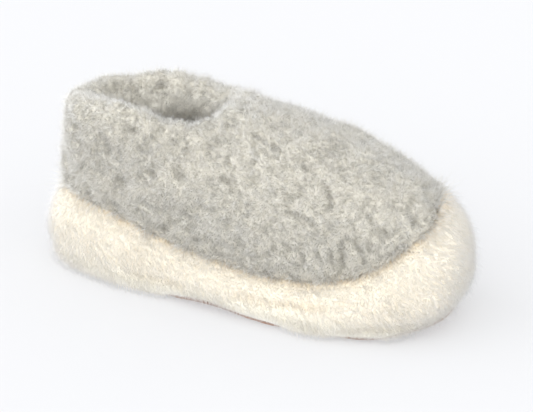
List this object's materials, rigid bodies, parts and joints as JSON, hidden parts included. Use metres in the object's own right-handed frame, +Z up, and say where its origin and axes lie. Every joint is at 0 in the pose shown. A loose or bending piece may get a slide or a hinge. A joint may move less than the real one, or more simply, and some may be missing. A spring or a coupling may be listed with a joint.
{
  "type": "wool slipper",
  "caption": "Closed-toe wool slipper for the left foot: a curly fleece upper with a thick turned-in collar on a padded fleece sole with a thin suede outsole.",
  "frame": {"origin": "on the floor, under the middle of the slipper's box", "axes": "+X from heel to toe, +Y to the outer side of the left foot, +Z up"},
  "size_m": [0.291, 0.1252, 0.1186],
  "materials": {
    "suede": "matt suede, nap side out",
    "pale_fleece": "soft cream wool pile, matt",
    "grey_fleece": "curly light grey wool pile, matt"
  },
  "bodies": {
    "root": {"outsole": "suede", "sole": "pale_fleece", "insole": "pale_fleece", "upper": "grey_fleece"}
  },
  "joints": []
}
